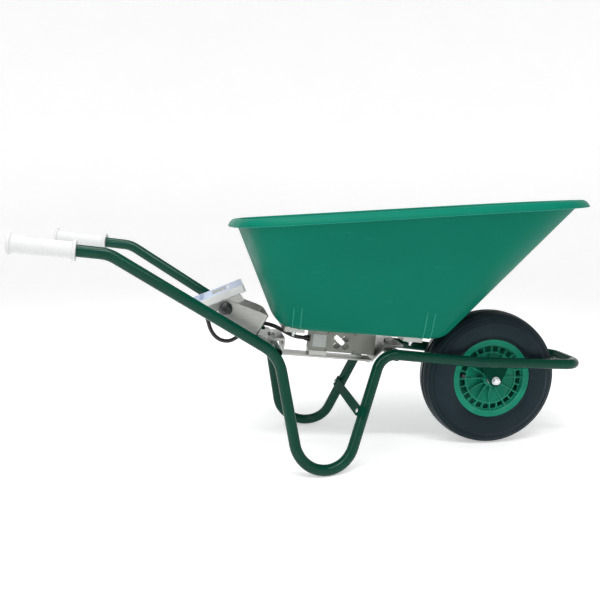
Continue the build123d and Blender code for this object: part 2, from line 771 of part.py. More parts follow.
def make_housing_front():
    """The indicator's front shell, open for the display and the keys."""
    plane = head_plane()
    half = head_width / 2
    shell = rounded_slab(plane, (0, head_length), (-half, half), (-7.98, 0), 6)
    room = (head_wall, head_length - head_wall), (head_wall - half, half - head_wall)
    shell -= rounded_slab(plane, *room, (-9, -3.5), 4)
    edge = 1.5
    seat = (edge, head_length - edge), (edge - half, half - edge)
    shell -= rounded_slab(plane, *seat, (-panel_thickness, 1), 4.5)
    shell -= slab(plane, (60, 100), (-40, 40), (-9, 1))
    for u, v in screw_places():
        shell += plane * (Pos(u, v, -5.5) * Cylinder(4, 4.9))
        shell -= plane * (Pos(u, v, -6) * Cylinder(1.7, 6))
    for u, v in key_rows:
        shell -= key_block(plane, u, v, key_gap, (-9, 1))
    return shell


def key_block(plane, u, v, grow, w):
    """A key's outline, made larger all round by grow, between two levels."""
    half_u, half_v = key_size[0] / 2 + grow, key_size[1] / 2 + grow
    return rounded_slab(plane, (u - half_u, u + half_u), (v - half_v, v + half_v), w, 2.5)


def make_face_panel():
    """The thin printed panel over the front shell."""
    plane = head_plane()
    half = head_width / 2
    edge = 1.6
    reach = (edge, head_length - edge), (edge - half, half - edge)
    panel = rounded_slab(plane, *reach, (-panel_thickness + 0.02, 0.1), 4.4)
    panel -= slab(plane, (59.95, 100.05), (-40.05, 40.05), (-3, 3))
    for u, v in key_rows:
        panel -= key_block(plane, u, v, key_gap, (-3, 3))
    return panel


def make_display_window():
    """The clear window of the display."""
    return slab(head_plane(), (60.05, 99.95), (-39.95, 39.95), (-3.4, -0.1))


def make_display():
    """The display module behind the window."""
    return slab(head_plane(), (57, 103), (-43, 43), (-6.6, -3.55))


def make_key(number):
    """One key of the keypad, proud of the panel."""
    u, v = key_rows[number]
    key = key_block(head_plane(), u, v, 0, (-3.4, 0.9))
    return key


def make_circuit_board():
    """The circuit board, between the display and the battery."""
    plane = head_plane()
    return slab(plane, (12, head_length - 12), (-66, 66), (-8.6, -7))


def make_battery():
    """The battery pack in the rear shell."""
    return rounded_slab(head_plane(), (70, 128), (-50, 50), (-17.2, -9), 3)


def make_gland():
    """The cable gland in the indicator's rear shell."""
    plane = head_plane()
    body = Pos(20, 0, -head_depth - 0.02) * (Rot(180, 0, 0) * hexagon_bar(17, 6))
    taper_outline = [(0, -24), (8, -24), (8, -33), (6.6, -37.95), (0, -37.95)]
    cone = revolve(Plane.XZ * make_face(Polyline(*taper_outline, close=True)), Axis.Z)
    neck = Pos(20, 0, -19.5) * Cylinder(6, 7)
    bore = Pos(20, 0, -28) * Cylinder(5.0, 9.9)
    return (plane * (body + Pos(20, 0, 0) * cone + neck - bore)).solid()


def make_cell_gland():
    """The gland where the cable enters the load cell."""
    plane = weigh_plane()
    top, bottom, _, _ = cell_levels()
    middle = (top + bottom) / 2
    start = plane.from_local_coords((cell_start_u - 0.02, 0, middle))
    seat = Plane(origin=start, z_dir=-plane.x_dir)
    outline = [(0, 0), (9, 0), (9, 5), (8, 6), (8, 11), (6.6, 13.9), (0, 13.9)]
    return seat * revolve(Plane.XZ * make_face(Polyline(*outline, close=True)), Axis.Z)


def tilt_axis():
    """A point on the indicator's tilt axis."""
    return Vector(behind(tilt_axis_behind), 0, tilt_axis_height)


def make_yoke():
    """The folded cradle under the indicator, with a round cheek at each side."""
    plane = head_plane()
    half = yoke_half_width
    under = -head_depth - 0.1
    top = slab(plane, (38, 131), (-half, half), (under - sheet_thickness, under))
    local = plane.to_local_coords(tilt_axis())
    cheek = Pos(local.X, local.Z) * Circle(yoke_radius)
    cheek &= Pos(local.X + 15, local.Z + 10) * Rectangle(120, 2 * (under - local.Z - 10))
    side_plane = Plane(origin=plane.origin, x_dir=plane.x_dir, z_dir=(0, -1, 0))
    body = top
    for v in (-half, half - sheet_thickness):
        corner = plane.origin + Vector(0, v + sheet_thickness, 0)
        face = Plane(origin=corner, x_dir=plane.x_dir, z_dir=(0, -1, 0))
        body += extrude(face * cheek, sheet_thickness)
    hole = extrude(side_plane * (Pos(local.X, local.Z) * Circle(4.02)), 120, both=True)
    return (body - hole).solid()


def make_bracket():
    """The fixed bracket: one bent sheet with two arms, a web with the cable's hole, and a foot."""
    axis = tilt_axis()
    top = Vector(behind(666.0), 0, 403.0)
    down = Vector(-0.51, 0, -0.86).normalized()
    back = Vector(down.Z, 0, -down.X)
    section = Plane(origin=top - down * 30, x_dir=(0, 1, 0), z_dir=down)
    reach = 160.0
    outward = 1 if section.y_dir.dot(back) > 0 else -1
    outer = Pos(0, outward * reach / 2) * Rectangle(2 * arm_half_width, reach)
    inside_width = 2 * (arm_half_width - sheet_thickness)
    inner = Pos(0, outward * (reach / 2 + sheet_thickness)) * Rectangle(inside_width, reach)
    nearest = slice(0, 2) if outward > 0 else slice(2, 4)
    outer = fillet(outer.vertices().sort_by(Axis.Y)[nearest], 9)
    inner = fillet(inner.vertices().sort_by(Axis.Y)[nearest], 6)
    channel = extrude(section * (outer - inner), 200)
    foot_z = rear_cross[1] + tube_radius + top_plate_thickness
    foot_x = top.X + down.X / down.Z * (foot_z - top.Z)
    outline = [(axis.X + 4, axis.Z + 22), (behind(684.0), 417), (behind(660.0), 404)]
    outline += [(foot_x + 6, foot_z + 0.1)]
    outline += [(foot_x - 24, foot_z + 16), (axis.X - 6, axis.Z - 21)]
    arm_shape = make_face(Polyline(*outline, close=True)) + Pos(axis.X, axis.Z) * Circle(22)
    mask = extrude(Plane.XZ * arm_shape, 200, both=True)
    bracket = channel & mask
    foot_levels = (foot_z + weld_gap, foot_z + weld_gap + sheet_thickness)
    foot = slab(Plane.XY, (foot_x - 1, foot_x + 30), (-68, 68), foot_levels)
    bracket += foot
    for y in (-50, 50):
        bracket -= Pos(behind(bracket_bolt_behind), y, foot_z) * Cylinder(3.3, 30)
    hole_at = top - down * -32
    bracket -= along(hole_at - back * 20, hole_at + back * 20, 17)
    bracket -= along((axis.X, -120, axis.Z), (axis.X, 120, axis.Z), 4.0 + 0.08)
    return keep_largest(bracket)


def make_bracket_bolts():
    """Two bolts with nuts that hold the bracket's foot to the rear top plate."""
    pieces = []
    foot_z = rear_cross[1] + tube_radius + top_plate_thickness + 0.05 + sheet_thickness
    for y in (-50, 50):
        head = hexagon_bar(10, 4)
        shank = Cylinder(3.1, 22, align=(Align.CENTER, Align.CENTER, Align.MAX))
        pieces.append((Pos(behind(bracket_bolt_behind), y, foot_z + 0.02) * (head + shank)).solid())
        low = rear_cross[1] + tube_radius - 5.05
        nut = Pos(behind(bracket_bolt_behind), y, low) * (hexagon_bar(10, 5) - Cylinder(3.12, 30))
        pieces.append(nut.solid())
    return Compound(children=pieces)


def make_clamp_bolts():
    """The two bolts that the indicator tilts on, fixed in the yoke's cheeks."""
    axis = tilt_axis()
    pieces = []
    for side in (-1, 1):
        start = side * (yoke_half_width - sheet_thickness - 3)
        seat = Plane(origin=(axis.X, start, axis.Z), z_dir=(0, side, 0))
        head = extrude(Circle(8), 3)
        shank = Cylinder(4.0, 30, align=(Align.CENTER, Align.CENTER, Align.MIN))
        pieces.append((seat * (head + shank)).solid())
    return Compound(children=pieces)


def make_knob(side):
    """A domed clamp knob with shallow finger grooves."""
    axis = tilt_axis()
    base = Polyline((2, 28), (0, 28), (0, 0), (9, 0), (9, 4), (17, 6), (knob_radius, 8), (knob_radius, 15))
    dome = ThreePointArc((knob_radius, 15), (knob_radius * 0.75, 24), (2, 28))
    knob = revolve(Plane.XZ * make_face(base + dome), Axis.Z)
    for i in range(10):
        knob -= Rot(0, 0, 36 * i) * Pos(knob_radius + 1.6, 0, 12) * Cylinder(2.6, 40)
    knob -= Cylinder(4.05, 40)
    seat = Plane(origin=(axis.X, side * (arm_half_width + loose_gap), axis.Z), z_dir=(0, side, 0))
    return seat * knob


def cable_radii():
    """Each bend's radius: as large as the two runs beside it allow."""
    points = [Vector(*p) for p in cable_route]
    radii = []
    for before, corner, after in zip(points, points[1:], points[2:]):
        first, second = corner - before, after - corner
        turn = math.radians(first.get_angle(second))
        radii.append(0.45 * min(first.length, second.length) / math.tan(turn / 2))
    return radii


def make_cable():
    """The load cell's cable, hanging between the indicator and the load cell."""
    return tube_on(FilletPolyline(*[Vector(*p) for p in cable_route], radius=cable_radii()), cable_radius)


def save(name, shape):
    """Writes one piece, or one group of like pieces, under its own name."""
    shape.label = name
    export_step(shape, f"parts/{name}.step")


def main():
    """Makes every piece and writes it."""
    os.makedirs("parts", exist_ok=True)
    for side, name in ((-1, "right"), (1, "left")):
        save(f"{name}_frame_tube", tube_on(side_path(side), tube_radius, tube_bore))
        save(f"{name}_axle_bracket", make_axle_bracket(side))
        save(f"{name}_grip", make_grip(side))
        save(f"{name}_rim_half", make_rim_half(side))
        save(f"{name}_wheel_bearing", make_bearing(side))
        save(f"{name}_clamp_knob", make_knob(side))
    save("nose_tube", make_nose())
    save("rear_cross_tube", make_cross_tube(rear_cross, 156))
    save("front_cross_tube", make_cross_tube(front_cross, 105))
    save("leg_brace", make_leg_brace())
    save("brace_bolts", make_brace_bolts())
    save("axle", make_axle())
    save("axle_nuts", make_axle_nuts())
    save("axle_spacers", make_axle_spacers())
    save("tyre", make_tyre())
    save("inner_tube", make_inner_tube())
    save("valve_stem", make_valve())
    save("valve_cap", make_valve_cap())
    save("weigh_carrier", make_carrier())
    save("carrier_bolts", make_carrier_bolts())
    save("lower_spacer", make_lower_spacer())
    save("load_cell", make_load_cell())
    save("type_plate", make_type_plate())
    save("upper_spacer", make_upper_spacer())
    save("load_cell_bolts", make_cell_bolts())
    save("weigh_deck", make_deck())
    save("rear_tub_bearer", make_bearer(rear_bearer_u))
    save("front_tub_bearer", make_bearer(front_bearer_u))
    save("tub", make_tub())
    save("tub_bolts", make_tub_bolts())
    save("tub_nuts", make_tub_nuts())
    save("indicator_bracket", make_bracket())
    save("bracket_bolts", make_bracket_bolts())
    save("indicator_yoke", make_yoke())
    save("clamp_bolts", make_clamp_bolts())
    save("housing_back", make_housing_back())
    save("housing_front", make_housing_front())
    save("housing_screws", make_housing_screws())
    save("face_panel", make_face_panel())
    save("display_window", make_display_window())
    save("display_module", make_display())
    save("circuit_board", make_circuit_board())
    save("battery_pack", make_battery())
    save("cable_gland", make_gland())
    save("cell_gland", make_cell_gland())
    for number in range(len(key_rows)):
        save(f"key_{number + 1}", make_key(number))
    save("load_cell_cable", make_cable())
    print("cable bend radii", [round(r, 1) for r in cable_radii()])


main()
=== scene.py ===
"""Looks for the weighing wheelbarrow: finishes, moulded tub, tyre, grips, cable, welds and studio."""

import json
import math

import bpy
from mathutils import Matrix, Vector
from mathutils.bvhtree import BVHTree


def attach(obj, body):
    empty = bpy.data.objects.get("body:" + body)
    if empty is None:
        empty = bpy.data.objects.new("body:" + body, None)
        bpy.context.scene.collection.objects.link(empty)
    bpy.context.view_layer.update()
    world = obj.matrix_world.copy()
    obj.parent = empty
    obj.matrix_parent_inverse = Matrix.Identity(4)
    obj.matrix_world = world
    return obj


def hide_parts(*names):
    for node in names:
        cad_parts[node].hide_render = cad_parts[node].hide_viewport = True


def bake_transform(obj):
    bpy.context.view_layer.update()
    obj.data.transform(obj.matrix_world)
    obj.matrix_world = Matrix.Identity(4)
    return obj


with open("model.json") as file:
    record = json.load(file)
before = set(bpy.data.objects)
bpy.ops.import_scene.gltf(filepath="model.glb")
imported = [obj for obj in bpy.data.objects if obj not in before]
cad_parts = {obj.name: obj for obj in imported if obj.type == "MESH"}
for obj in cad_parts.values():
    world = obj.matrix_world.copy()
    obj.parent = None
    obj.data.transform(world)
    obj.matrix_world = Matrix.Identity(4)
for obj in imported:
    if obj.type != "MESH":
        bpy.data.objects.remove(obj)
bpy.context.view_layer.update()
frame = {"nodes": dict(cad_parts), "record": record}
nodes = frame["nodes"]

# Places in the frame, in metres
AXLE = Vector((0.5075, 0.0, 0.2))
TUBE_RADIUS = 0.015
BEAD_STATIONS = 48
REAR_CROSS = (-0.1425, 0.319)
FRONT_CROSS = (0.1975, 0.291)
HANDLE_END = (-0.7682, 0.2398, 0.6112)
HANDLE_BEND = (-0.5505, 0.217, 0.585)
NOSE_JOINT = (0.4505, 0.085, 0.26)
NOSE_CORNER = (0.761, 0.08, 0.244)
FRONT_LEG_BEND = (0.1555, 0.104, 0.299)
DECK_PLACE = (-0.0595, 0.0, 0.374)
DECK_TILT = math.radians(6.0)
# An outline is rear, front, half width at the rear and front, bulge, and rear and front corner radius
FLOOR_OUTLINE = (-0.074, 0.412, 0.158, 0.128, 0.012, 0.075, 0.1)
RIM_OUTLINE = (-0.748, 0.19, 0.313, 0.29, 0.034, 0.11, 0.215)
RIB_STATIONS = {"rear": (-0.1, -0.08), "front": (0.261, 0.283)}
RIM_PLACE = (0.5075, 0.0, 0.7111)
RIM_TILT = math.radians(-3.37)
HEAD_PLACE = (-0.3625, 0.0, 0.44)
HEAD_TILT = math.radians(-21.0)

# The cable's route, from the indicator's gland to the load cell's
CABLE_DIAMETER = 0.011
CABLE_SIDES = 20
CABLE_ROUTE = [
    (-0.3302, 0.0, 0.4117),
    (-0.3212, 0.0, 0.3882),
    (-0.3140, -0.002, 0.356),
    (-0.2940, -0.004, 0.33),
    (-0.2630, -0.003, 0.322),
    (-0.2360, 0.0, 0.336),
    (-0.2140, 0.002, 0.357),
    (-0.1810, 0.002, 0.374),
    (-0.1510, 0.002, 0.371),
    (-0.1210, 0.002, 0.3585),
    (-0.0950, 0.001, 0.342),
    (-0.0710, 0.0, 0.331),
    (-0.0472, 0.0, 0.3285),
]


# ---------------------------------------------------------------- camera


def make_camera():
    """The camera, low on the barrow's right side and a little to the rear."""
    yaw, pitch, roll = 0.138268, 0.134203, 0.003017
    look = Vector((math.sin(yaw) * math.cos(pitch), math.cos(yaw) * math.cos(pitch), -math.sin(pitch)))
    level = Vector((math.cos(yaw), -math.sin(yaw), 0.0))
    above = level.cross(look)
    right = level * math.cos(roll) + above * math.sin(roll)
    up = above * math.cos(roll) - level * math.sin(roll)
    data = bpy.data.cameras.new("camera")
    data.sensor_width = 36.0
    data.lens = 38.44
    data.dof.use_dof = False
    camera = bpy.data.objects.new("camera", data)
    bpy.context.scene.collection.objects.link(camera)
    turn = Matrix((right, up, -look)).transposed().to_4x4()
    camera.matrix_world = Matrix.Translation((-0.309157, -1.793697, 0.682119)) @ turn
    bpy.context.scene.camera = camera


# ---------------------------------------------------------------- material tools


def start_material(name, roughness, metallic=0.0, **more):
    """A new material with its shader's constant values; more has them by name with underscores."""
    made = bpy.data.materials.new(name)
    made.use_nodes = True
    shader = made.node_tree.nodes["Principled BSDF"]
    shader.inputs["Roughness"].default_value = roughness
    shader.inputs["Metallic"].default_value = metallic
    for socket, value in more.items():
        shader.inputs[socket.replace("_", " ")].default_value = value
    return made


def shader_of(made):
    """A material's main shader."""
    return made.node_tree.nodes["Principled BSDF"]


def node(made, kind, inputs=None, **settings):
    """Adds a node, with its settings and its inputs, which are values or other nodes' outputs."""
    added = made.node_tree.nodes.new(kind)
    for key, value in settings.items():
        setattr(added, key, value)
    for key, value in (inputs or {}).items():
        if isinstance(value, bpy.types.NodeSocket):
            made.node_tree.links.new(value, added.inputs[key])
        else:
            added.inputs[key].default_value = value
    return added


def place(made, stretch=(1.0, 1.0, 1.0), offset=(0.0, 0.0, 0.0)):
    """The piece's own coordinates, in metres, stretched."""
    coordinates = node(made, "ShaderNodeTexCoord").outputs["Object"]
    inputs = {"Vector": coordinates, "Scale": stretch, "Location": offset}
    return node(made, "ShaderNodeMapping", inputs).outputs["Vector"]


def noise(made, scale, detail=3.0, roughness=0.5, stretch=(1.0, 1.0, 1.0)):
    """Smooth random values from 0 to 1."""
    inputs = {"Vector": place(made, stretch), "Scale": scale, "Detail": detail, "Roughness": roughness}
    return node(made, "ShaderNodeTexNoise", inputs).outputs["Fac"]


def spread(made, value, low, high, start=0.0, end=1.0):
    """A value taken from start..end to low..high."""
    inputs = {"Value": value, "From Min": start, "From Max": end, "To Min": low, "To Max": high}
    return node(made, "ShaderNodeMapRange", inputs).outputs["Result"]


def sum_of(made, first, second, operation="ADD"):
    """Two values put together by one operation."""
    joined = node(made, "ShaderNodeMath", {0: first, 1: second}, operation=operation)
    return joined.outputs[0]


def ramp(made, value, stops):
    """A colour for each value, from (place, colour) stops."""
    band = node(made, "ShaderNodeValToRGB", {"Fac": value})
    elements = band.color_ramp.elements
    while len(elements) < len(stops):
        elements.new(0.5)
    for element, (where, colour) in zip(elements, stops):
        element.position = where
        element.color = (*colour, 1.0)
    return band.outputs["Color"]


def mixed(made, factor, first, second):
    """Two colours mixed by a factor."""
    mix = node(made, "ShaderNodeMix", data_type="RGBA")
    for index, value in ((0, factor), (6, first), (7, second)):
        if isinstance(value, bpy.types.NodeSocket):
            made.node_tree.links.new(value, mix.inputs[index])
        else:
            mix.inputs[index].default_value = value if index == 0 else (*value, 1.0)
    return mix.outputs[2]


def set_input(made, socket, value):
    """Feeds the main shader's socket."""
    made.node_tree.links.new(value, shader_of(made).inputs[socket])


def rounded(made, radius):
    """A normal that softens edges to a radius."""
    return node(made, "ShaderNodeBevel", {"Radius": radius}, samples=4).outputs["Normal"]


def edges_of(made, normal, reach=0.06):
    """1 on edges and 0 on flats, from a softened normal."""
    true_normal = node(made, "ShaderNodeNewGeometry").outputs["Normal"]
    inputs = {0: normal, 1: true_normal}
    same = node(made, "ShaderNodeVectorMath", inputs, operation="DOT_PRODUCT").outputs["Value"]
    return spread(made, same, 1.0, 0.0, 1.0 - reach, 1.0)


def bump(made, height, distance, strength=1.0, normal=None):
    """A normal pushed by a height."""
    inputs = {"Height": height, "Distance": distance, "Strength": strength}
    if normal is not None:
        inputs["Normal"] = normal
    return node(made, "ShaderNodeBump", inputs).outputs["Normal"]


# ---------------------------------------------------------------- materials


def frame_paint(name="frame_paint", gloss=0.17, rough=(0.08, 0.2)):
    """Glossy dark green enamel: orange peel, a little dust and paler worn edges."""
    made = start_material(name, rough[0], Specular_IOR_Level=gloss)
    soft = rounded(made, 0.0012)
    base = ramp(made, noise(made, 9.0, 4.0), [(0.3, (0.0008, 0.034, 0.02)), (0.7, (0.0014, 0.046, 0.028))])
    worn = sum_of(made, edges_of(made, soft), noise(made, 160.0, 5.0), "MULTIPLY")
    set_input(made, "Base Color", mixed(made, worn, base, (0.006, 0.09, 0.06)))
    set_input(made, "Roughness", spread(made, noise(made, 14.0, 6.0, 0.6), rough[0], rough[1], 0.3, 0.75))
    peel = bump(made, noise(made, 420.0, 2.0), 0.0001, 0.35, soft)
    set_input(made, "Normal", bump(made, noise(made, 60.0, 2.0), 0.0003, 0.25, peel))
    return made


def tub_plastic():
    """Mid green moulded plastic, satin, with fine grain, soft unevenness, faint scuffs and a painted
    highlight that lightens its edges.
    """
    made = start_material("tub_plastic", 0.42, Specular_IOR_Level=0.05)
    clouds = noise(made, 3.2, 4.0, 0.55)
    base = ramp(made, clouds, [(0.25, (0.0006, 0.128, 0.082)), (0.75, (0.0012, 0.148, 0.096))])
    scratches = noise(made, 26.0, 9.0, 0.72, (0.35, 1.0, 3.4))
    scuffs = spread(made, scratches, 0.0, 0.5, 0.62, 0.74)
    painted_edge_highlight = edges_of(made, rounded(made, 0.0022), 0.09)
    scuffed = mixed(made, scuffs, base, (0.02, 0.26, 0.18))
    # Painted highlight: the edges are mixed to a paler green, (0.06, 0.36, 0.28).
    set_input(made, "Base Color", mixed(made, painted_edge_highlight, scuffed, (0.06, 0.36, 0.28)))
    set_input(made, "Roughness", spread(made, noise(made, 11.0, 7.0, 0.65), 0.34, 0.52, 0.3, 0.7))
    grain = bump(made, noise(made, 900.0, 3.0), 0.00008, 0.5)
    set_input(made, "Normal", bump(made, noise(made, 5.0, 1.0), 0.004, 0.12, grain))
    return made


def rim_plastic():
    """Bright green moulded plastic whose thin edges catch the light."""
    made = start_material("rim_plastic", 0.34, Specular_IOR_Level=0.12)
    soft = rounded(made, 0.0009)
    base = ramp(made, noise(made, 22.0, 4.0), [(0.3, (0.003, 0.165, 0.095)), (0.7, (0.005, 0.205, 0.125))])
    dust = spread(made, noise(made, 42.0, 8.0, 0.7), 0.0, 0.35, 0.55, 0.8)
    dusty = mixed(made, dust, base, (0.13, 0.2, 0.14))
    set_input(made, "Base Color", mixed(made, edges_of(made, soft), dusty, (0.09, 0.52, 0.36)))
    set_input(made, "Roughness", spread(made, noise(made, 30.0, 6.0), 0.26, 0.5, 0.3, 0.7))
    set_input(made, "Normal", bump(made, noise(made, 700.0, 2.0), 0.00008, 0.4, soft))
    return made


def distance_from_axle(made):
    """Each point's distance from the axle's line, in metres."""
    shifted = place(made, (1.0, 0.0, 1.0), (-AXLE.x, 0.0, -AXLE.z))
    return node(made, "ShaderNodeVectorMath", {0: shifted}, operation="LENGTH").outputs["Value"]


def tyre_rubber():
    """Near-black tyre with a bluish sheen, fine moulding rings, dust and small pips."""
    made = start_material("tyre_rubber", 0.42, Specular_IOR_Level=0.3, Specular_Tint=(0.5, 0.85, 1.0, 1.0))
    base = ramp(made, noise(made, 12.0, 5.0), [(0.3, (0.003, 0.0042, 0.006)), (0.7, (0.0055, 0.0075, 0.01))])
    dust = spread(made, noise(made, 34.0, 10.0, 0.75), 0.0, 0.5, 0.55, 0.85)
    set_input(made, "Base Color", mixed(made, dust, base, (0.022, 0.024, 0.025)))
    set_input(made, "Roughness", spread(made, noise(made, 20.0, 6.0), 0.3, 0.5, 0.3, 0.7))
    rings = node(made, "ShaderNodeMath", {0: sum_of(made, distance_from_axle(made), 2600.0, "MULTIPLY")})
    rings.operation = "SINE"
    ringed = bump(made, rings.outputs[0], 0.00012, 0.3)
    set_input(made, "Normal", bump(made, noise(made, 650.0, 3.0), 0.0001, 0.6, ringed))
    return made


def grip_plastic():
    """White moulded plastic, faintly greyed where hands and dirt reach it."""
    made = start_material("grip_plastic", 0.34, Specular_IOR_Level=0.12)
    soft = rounded(made, 0.0008)
    grime = noise(made, 28.0, 8.0, 0.7)
    set_input(made, "Base Color", ramp(made, grime, [(0.5, (0.56, 0.57, 0.565)), (0.85, (0.5, 0.51, 0.5))]))
    set_input(made, "Roughness", spread(made, noise(made, 40.0, 6.0), 0.26, 0.48, 0.3, 0.7))
    set_input(made, "Normal", bump(made, noise(made, 500.0, 2.0), 0.00008, 0.5, soft))
    return made


def brushed(name, colour, stretch, rough=(0.26, 0.44), edge_radius=0.0006):
    """Sheet metal with fine lines drawn along one direction."""
    made = start_material(name, rough[0], 1.0, Anisotropic=0.35)
    soft = rounded(made, edge_radius)
    lines = noise(made, 420.0, 4.0, 0.6, stretch)
    shade = tuple(0.82 * c for c in colour)
    stained = spread(made, noise(made, 16.0, 7.0, 0.65), 0.0, 0.5, 0.52, 0.8)
    streaked = ramp(made, lines, [(0.3, shade), (0.7, colour)])
    dull = tuple(0.62 * c for c in colour)
    set_input(made, "Base Color", mixed(made, stained, streaked, dull))
    set_input(made, "Roughness", spread(made, lines, rough[0], rough[1], 0.3, 0.7))
    set_input(made, "Normal", bump(made, lines, 0.00004, 0.35, soft))
    return made


def cell_metal():
    """Grey bead-blasted metal, its edges painted paler as a painted highlight."""
    made = start_material("cell_metal", 0.5, 0.85)
    soft = rounded(made, 0.0007)
    base = ramp(made, noise(made, 30.0, 6.0), [(0.3, (0.17, 0.18, 0.16)), (0.7, (0.23, 0.24, 0.21))])
    # Painted highlight: the edges are mixed to a paler grey, (0.42, 0.43, 0.4).
    set_input(made, "Base Color", mixed(made, edges_of(made, soft), base, (0.42, 0.43, 0.4)))
    set_input(made, "Roughness", spread(made, noise(made, 60.0, 5.0), 0.42, 0.6, 0.3, 0.7))
    set_input(made, "Normal", bump(made, noise(made, 1500.0, 2.0), 0.00006, 0.7, soft))
    return made


def zinc():
    """Bright zinc plate on bolts and nuts, with a little tarnish."""
    made = start_material("zinc", 0.3, 1.0)
    soft = rounded(made, 0.0005)
    tarnish = noise(made, 70.0, 6.0, 0.65)
    set_input(made, "Base Color", ramp(made, tarnish, [(0.4, (0.72, 0.74, 0.77)), (0.75, (0.42, 0.42, 0.4))]))
    set_input(made, "Roughness", spread(made, tarnish, 0.2, 0.5, 0.3, 0.75))
    set_input(made, "Normal", bump(made, noise(made, 900.0, 2.0), 0.00005, 0.5, soft))
    return made


def moulded(name, low, high, rough=(0.35, 0.55), edge_radius=0.0006, grain=900.0):
    """Moulded plastic or rubber in one colour, with fine grain."""
    made = start_material(name, rough[0])
    soft = rounded(made, edge_radius)
    set_input(made, "Base Color", ramp(made, noise(made, 45.0, 6.0), [(0.3, low), (0.7, high)]))
    set_input(made, "Roughness", spread(made, noise(made, 70.0, 5.0), rough[0], rough[1], 0.3, 0.7))
    set_input(made, "Normal", bump(made, noise(made, grain, 3.0), 0.00008, 0.6, soft))
    return made


def window_glass():
    """The display's clear window, lightly scratched."""
    clear = {"Transmission_Weight": 0.92, "IOR": 1.45, "Alpha": 0.4, "Specular_IOR_Level": 0.15}
    made = start_material("window_glass", 0.06, **clear)
    tint = [(0.3, (0.8, 0.85, 0.83)), (0.7, (0.88, 0.92, 0.9))]
    scratches = noise(made, 220.0, 8.0, 0.7, (0.3, 1.0, 1.0))
    set_input(made, "Base Color", ramp(made, noise(made, 30.0), tint))
    set_input(made, "Roughness", spread(made, scratches, 0.03, 0.16, 0.4, 0.8))
    return made


def circuit_material():
    """A printed board with fine tracks."""
    made = start_material("circuit_board", 0.3)
    bricks = node(made, "ShaderNodeTexBrick", {"Vector": place(made), "Scale": 90.0, "Mortar Size": 0.04})
    copper = [(0.4, (0.01, 0.12, 0.04)), (0.6, (0.4, 0.26, 0.06))]
    set_input(made, "Base Color", ramp(made, bricks.outputs["Fac"], copper))
    set_input(made, "Normal", bump(made, bricks.outputs["Fac"], 0.0001, 0.4))
    return made


def make_materials():
    """Every material slot's finish."""
    white = ((0.56, 0.57, 0.56), (0.62, 0.63, 0.62))
    lavender = ((0.34, 0.41, 0.56), (0.4, 0.47, 0.62))
    slate = ((0.2, 0.26, 0.4), (0.26, 0.32, 0.46))
    black = ((0.006, 0.0065, 0.0075), (0.012, 0.0125, 0.014))
    return {
        "frame_green": frame_paint(),
        "tub_green": tub_plastic(),
        "rim_green": rim_plastic(),
        "tyre_black": tyre_rubber(),
        "grip_white": grip_plastic(),
        "stainless": brushed("stainless", (0.42, 0.43, 0.405), (0.03, 1.0, 1.0)),
        "cell_metal": cell_metal(),
        "plate_metal": brushed("plate_metal", (0.32, 0.34, 0.33), (0.02, 1.0, 1.0), (0.3, 0.45)),
        "fastener_zinc": zinc(),
        "bearing_steel": brushed("bearing_steel", (0.5, 0.5, 0.5), (1.0, 0.05, 1.0)),
        "black_plastic": moulded("black_plastic", *black, (0.28, 0.5), 0.0008),
        "black_rubber": moulded("black_rubber", *black, (0.5, 0.7)),
        "cable_black": moulded("cable_sheath", *black, (0.32, 0.5), 0.0004, 1400.0),
        "housing_white": moulded("housing_white", *white, (0.25, 0.42), 0.0012),
        "panel_blue": moulded("panel_blue", *lavender, (0.3, 0.45), 0.0003),
        "key_blue": moulded("key_blue", *slate, (0.35, 0.5), 0.0008),
        "display_glass": window_glass(),
        "display_grey": moulded("display_grey", (0.1, 0.135, 0.1), (0.14, 0.18, 0.135), (0.2, 0.3), 0.0002),
        "board_green": circuit_material(),
    }


# ---------------------------------------------------------------- mesh tools


def new_piece(name, vertices, faces, slot, body, sharp=35.0):
    """A smooth-shaded mesh piece that rides on a body and wears a slot's finish."""
    mesh = bpy.data.meshes.new(name)
    mesh.from_pydata([tuple(v) for v in vertices], [], faces)
    mesh.validate()
    mesh.polygons.foreach_set("use_smooth", [True] * len(mesh.polygons))
    mesh.set_sharp_from_angle(angle=math.radians(sharp))
    piece = bpy.data.objects.new(name, mesh)
    bpy.context.scene.collection.objects.link(piece)
    mesh.materials.append(materials[slot])
    if body is not None:
        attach(piece, body)
    return piece


def grid_faces(rows, columns, wrap_rows=False):
    """Faces between neighbouring rows of points, each row a closed loop."""
    faces = []
    for r in range(rows if wrap_rows else rows - 1):
        for c in range(columns):
            after = (c + 1) % columns
            below = (r + 1) % rows
            faces.append((r * columns + c, r * columns + after, below * columns + after, below * columns + c))
    return faces


def lathe(name, profile, origin, axis, slot, body, segments=160, closed=True):
    """Turns a profile of (radius, place along the axis) about an axis."""
    axis = Vector(axis).normalized()
    across = axis.orthogonal().normalized()
    beside = axis.cross(across)
    vertices = []
    for radius, height in profile:
        for i in range(segments):
            angle = 2 * math.pi * i / segments
            out = across * math.cos(angle) + beside * math.sin(angle)
            vertices.append(Vector(origin) + axis * height + out * radius)
    faces = grid_faces(len(profile), segments, closed)
    return new_piece(name, vertices, faces, slot, body)


def rounded_profile(corners, steps=5):
    """A profile with each corner rounded; a corner is (radius, height, rounding)."""
    points = []
    count = len(corners)
    for i, (x, y, rounding) in enumerate(corners):
        here = Vector((x, y))
        before = Vector(corners[i - 1][:2]) - here
        after = Vector(corners[(i + 1) % count][:2]) - here
        if rounding <= 0:
            points.append((x, y))
            continue
        start = here + before.normalized() * min(rounding, before.length * 0.49)
        end = here + after.normalized() * min(rounding, after.length * 0.49)
        for step in range(steps + 1):
            t = step / steps
            point = start * (1 - t) ** 2 + here * 2 * t * (1 - t) + end * t ** 2
            points.append((point.x, point.y))
    return points


